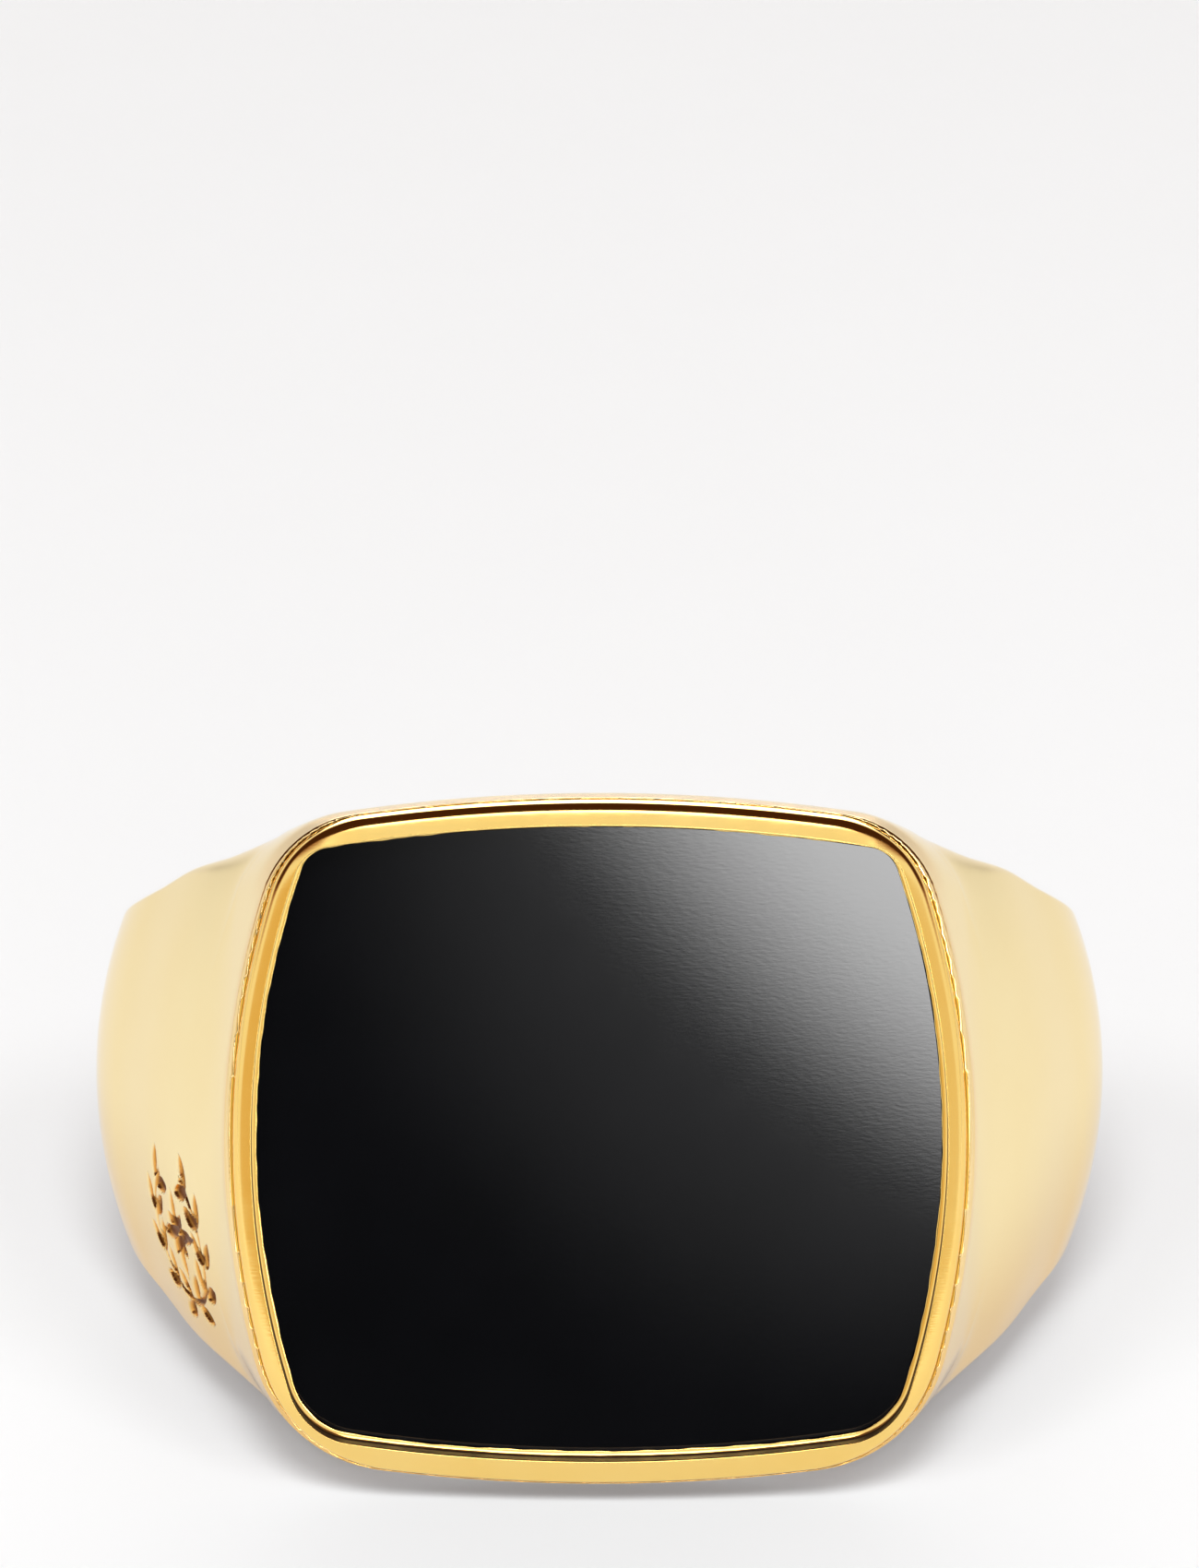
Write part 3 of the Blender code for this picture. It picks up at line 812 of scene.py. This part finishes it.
# The frame's tone for its share is nearly black, and it paints shade on the frame's inner wall.
frame_gold = gold_finish(
    "gold_plate_rim", (1.0, 0.70, 0.225), (0.985, 0.665, 0.19), 0.08, 0.14, cut_and_shade_tone=(0.02, 0.010, 0.006)
)
bare_gold = gold_finish("unplated_metal", (0.84, 0.62, 0.30), (0.74, 0.53, 0.25), 0.30, 0.42)
solder_metal = gold_finish("solder_metal", (0.80, 0.70, 0.46), (0.66, 0.56, 0.36), 0.35, 0.50)

# %% [markdown]
# Polished onyx looks like nearly black glass. A trace of blue in it, a polish that varies by the faintest
# amount, and a few hairlines from wear keep it from looking like a hole in the ring. The cement behind it
# is black, too, and quite dull. The three pieces on show throw no light of their own colour on the floor,
# so that the floor stays neutral.


# %% Onyx and cement
def onyx_finish():
    material, nodes, links, shader = new_finish("onyx", 0.0, 0.5)
    clouds = spread(nodes, links, place_noise(nodes, links, 3.0, 4.0), 0, 1)
    colour = blend_colours(nodes, links, clouds, (0.0008, 0.0009, 0.0013), (0.0014, 0.0015, 0.0021))
    links.new(colour, shader.inputs["Base Color"])
    polish = spread(nodes, links, place_noise(nodes, links, 0.8, 5.0), 0.050, 0.056)
    links.new(polish, shader.inputs["Roughness"])
    hairlines = nodes.new("ShaderNodeBump")
    hairlines.inputs["Strength"].default_value = 0.02
    hairlines.inputs["Distance"].default_value = 0.00001
    links.new(place_noise(nodes, links, 0.06, 2.0, (0.3, 0.3, 1.0)), hairlines.inputs["Height"])
    links.new(hairlines.outputs["Normal"], shader.inputs["Normal"])
    return material


def cement_finish():
    material, nodes, links, shader = new_finish("setting_cement", 0.0)
    grains = spread(nodes, links, place_noise(nodes, links, 0.15, 4.0), 0, 1)
    colour = blend_colours(nodes, links, grains, (0.030, 0.029, 0.027), (0.055, 0.052, 0.048))
    links.new(colour, shader.inputs["Base Color"])
    dullness = spread(nodes, links, place_noise(nodes, links, 0.2), 0.55, 0.75)
    links.new(dullness, shader.inputs["Roughness"])
    return material


def dress(piece, material):
    piece.data.materials.clear()
    piece.data.materials.append(material)
    piece.visible_diffuse = False


onyx_black = onyx_finish()
cement_black = cement_finish()
dress(shank, band_gold)
dress(collet, frame_gold)
dress(stone, onyx_black)
hidden_finishes = {"back_plate": bare_gold, "cement_bed": cement_black, "solder_seam": solder_metal}
for node, material in hidden_finishes.items():
    hidden_piece = frame["nodes"][node]
    hidden_piece.data.materials.clear()
    hidden_piece.data.materials.append(material)

# %% [markdown]
# ## The studio
# Polished gold shows nothing but its surroundings, so the surroundings are part of the finish. The ring
# stands on a pale floor with pale walls all round. The floor's tone varies by the faintest amount, like
# painted board.

# %% Pale floor
floor_shape = bmesh.new()
bmesh.ops.create_grid(floor_shape, x_segments=2, y_segments=2, size=3.0)
floor_mesh = bpy.data.meshes.new("floor")
floor_shape.to_mesh(floor_mesh)
floor_shape.free()
floor = bpy.data.objects.new("floor", floor_mesh)
bpy.context.scene.collection.objects.link(floor)
floor_material, floor_nodes, floor_links, floor_shader = new_finish("pale_floor", 0.0, 0.2)
floor_shader.inputs["Roughness"].default_value = 0.9
floor_tone = spread(floor_nodes, floor_links, place_noise(floor_nodes, floor_links, 6.0, 2.0), 0, 1)
floor_links.new(
    blend_colours(floor_nodes, floor_links, floor_tone, (0.855, 0.882, 0.894), (0.859, 0.886, 0.898)),
    floor_shader.inputs["Base Color"],
)
floor_mesh.materials.append(floor_material)

# %% [markdown]
# The walls are bright low down and give way to a warm, dark ceiling, which reaches lower at the sides and
# draws the dark line along the top edge of the frame. Two windows, one high in front and one behind, put
# the bright lines on the edges. Two corners of the room are warmer and dimmer. One spot in front stays
# dark, where the viewer stands, and the onyx mirrors it, together with a small bright panel. A world shader
# does this without any walls: it reads only the direction each ray goes.

# %% Walls and ceiling as light by direction
WALL_LIGHT = 0.95
CEILING_LIGHT = 0.055
CEILING_STARTS, CEILING_FULL = 30, 46  # degrees above the floor
SIDES_REACH_LOWER = 0.45
LEFT_DIMMING, RIGHT_DIMMING, VIEWER_DIMMING = 0.19, 0.13, 0.95
FRONT_WINDOW_LIGHT, BACK_WINDOW_LIGHT = 4.0, 4.5
PANEL_EDGE_LIGHT, PANEL_LIGHT = 12.0, 0.5
CEILING_TONE = (1.0, 0.36, 0.16)
LEFT_TONE = (1.0, 0.76, 0.40)
RIGHT_TONE = (1.0, 0.88, 0.68)
world = bpy.data.worlds.new("studio")
bpy.context.scene.world = world
world.use_nodes = True
sky = world.node_tree.nodes
sky_links = world.node_tree.links
background = sky["Background"]
direction = sky.new("ShaderNodeTexCoord")


def facing(azimuth, elevation, narrow, wide):
    """1 inside a cone round a direction, falling smoothly to 0 at its edge, for the world's rays."""
    around, up = math.radians(azimuth), math.radians(elevation)
    towards = (math.cos(up) * math.sin(around), -math.cos(up) * math.cos(around), math.sin(up))
    dot = sky.new("ShaderNodeVectorMath")
    dot.operation = "DOT_PRODUCT"
    dot.inputs[1].default_value = towards
    sky_links.new(direction.outputs["Generated"], dot.inputs[0])
    cone = sky.new("ShaderNodeMapRange")
    cone.interpolation_type = "SMOOTHSTEP"
    cone.inputs["From Min"].default_value = math.cos(math.radians(wide))
    cone.inputs["From Max"].default_value = math.cos(math.radians(narrow))
    sky_links.new(dot.outputs["Value"], cone.inputs["Value"])
    return cone.outputs["Result"]


def combine(operation, first, second):
    node = sky.new("ShaderNodeMath")
    node.operation = operation
    for socket, value in zip(node.inputs, (first, second)):
        if isinstance(value, (int, float)):
            socket.default_value = value
        else:
            sky_links.new(value, socket)
    return node.outputs["Value"]


height = sky.new("ShaderNodeSeparateXYZ")
sky_links.new(direction.outputs["Generated"], height.inputs["Vector"])
climb = sky.new("ShaderNodeMapRange")
climb.interpolation_type = "SMOOTHSTEP"
climb.inputs["From Min"].default_value = math.sin(math.radians(CEILING_STARTS))
climb.inputs["From Max"].default_value = math.sin(math.radians(CEILING_FULL))
sideways = combine("MULTIPLY", height.outputs["X"], height.outputs["X"])
raised = combine("ADD", height.outputs["Z"], combine("MULTIPLY", sideways, SIDES_REACH_LOWER))
sky_links.new(raised, climb.inputs["Value"])
ceiling = climb.outputs["Result"]
walls = combine("ADD", combine("MULTIPLY", ceiling, CEILING_LIGHT - WALL_LIGHT), WALL_LIGHT)
left_corner = facing(-20, 7, 6, 14)
right_corner = facing(20, 7, 6, 14)
left_dim = combine("MULTIPLY", left_corner, LEFT_DIMMING)
right_dim = combine("MULTIPLY", right_corner, RIGHT_DIMMING)
dimmed = combine("ADD", left_dim, right_dim)
viewer_dim = combine("MULTIPLY", facing(0, 5.5, 5, 13), VIEWER_DIMMING)
kept = combine("SUBTRACT", combine("SUBTRACT", 1.0, viewer_dim), dimmed)
front_window = facing(0, 39, 6, 10)
front_light = combine("MULTIPLY", front_window, FRONT_WINDOW_LIGHT)
back_light = combine("MULTIPLY", facing(180, 13, 10, 18), BACK_WINDOW_LIGHT)
windows = combine("ADD", front_light, back_light)
bright_edge = combine("MULTIPLY", facing(12.4, 17.6, 12.3, 15.2), PANEL_EDGE_LIGHT)
edge = combine("ADD", bright_edge, combine("MULTIPLY", facing(12.4, 17.6, 14, 20), PANEL_LIGHT))
panel = combine("MULTIPLY", edge, facing(2.6, 8.6, 3.4, 6.4))
light = combine("ADD", combine("ADD", combine("MULTIPLY", walls, kept), windows), panel)
sky_links.new(light, background.inputs["Strength"])
warm_ceiling = combine("MULTIPLY", ceiling, combine("SUBTRACT", 1.0, front_window))
colour = blend_colours(sky, sky_links, warm_ceiling, (1.0, 1.0, 1.0), CEILING_TONE)
colour = blend_colours(sky, sky_links, left_corner, colour, LEFT_TONE)
colour = blend_colours(sky, sky_links, right_corner, colour, RIGHT_TONE)
sky_links.new(colour, background.inputs["Color"])

# %% [markdown]
# Three soft lamps stand in front, one in the middle and one on each side. They light the floor and give the
# ring its soft shadows. A larger lamp higher up fills in the floor and casts no shadows. All four are
# hidden from reflections, because bright discs in every curve of the gold would look nothing like pale
# walls.


# %% Soft lights
LAMP_DISTANCE = 1.2


def soft_light(name, azimuth, elevation, size, watts, shadows=True):
    data = bpy.data.lights.new(name, "AREA")
    data.shape = "DISK"
    data.size = size
    data.energy = watts
    lamp = bpy.data.objects.new(name, data)
    bpy.context.scene.collection.objects.link(lamp)
    around, up = math.radians(azimuth), math.radians(elevation)
    away = Vector((math.cos(up) * math.sin(around), -math.cos(up) * math.cos(around), math.sin(up)))
    lamp.location = away * LAMP_DISTANCE
    lamp.rotation_euler = away.to_track_quat("Z", "Y").to_euler()
    lamp.visible_glossy = False
    data.use_shadow = shadows


soft_light("soft_front", 0, 46, 0.4, 8.9)
soft_light("soft_left", -30, 40, 0.4, 2.4)
soft_light("soft_right", 30, 40, 0.4, 2.4)
soft_light("fill", 0, 60, 0.8, 2.8, shadows=False)

# %% [markdown]
# ## The camera
# The lens is long, as it is for small things, so the ring is drawn almost without perspective. It looks a
# little down into the finger hole. The ring sits low in the frame, with room above it.

# %% Camera
VIEW_UP = 7.8  # degrees above the middle plane of the ring
DISTANCE = 0.400
PICTURE_HEIGHT = 37.3626  # what the lens takes in from top to bottom, in mm at the ring
LOWERED = 6.76923  # the ring's centre sits this far below the middle of the picture, in mm
SENSOR = 36
up = math.radians(VIEW_UP)
away = ring_turn.to_3x3() @ Vector((0, -math.cos(up), math.sin(up)))
camera_data = bpy.data.cameras.new("camera")
camera = bpy.data.objects.new("camera", camera_data)
bpy.context.scene.collection.objects.link(camera)
camera_data.sensor_fit = "AUTO"
camera_data.sensor_width = SENSOR
camera_data.lens = SENSOR * DISTANCE / (PICTURE_HEIGHT * MM)
camera_data.clip_start = 0.01
camera_data.clip_end = 20
camera.location = ring_centre + away * DISTANCE
side = Vector((1, 0, 0))
frame_up = away.cross(side)
target = ring_centre + frame_up * LOWERED * MM
camera.rotation_euler = (camera.location - target).to_track_quat("Z", "Y").to_euler()
bpy.context.scene.camera = camera
bpy.context.scene.view_settings.view_transform = "Standard"
print("lens, mm:", round(camera_data.lens), "elevation:", round(math.degrees(math.asin(away.z)), 1))
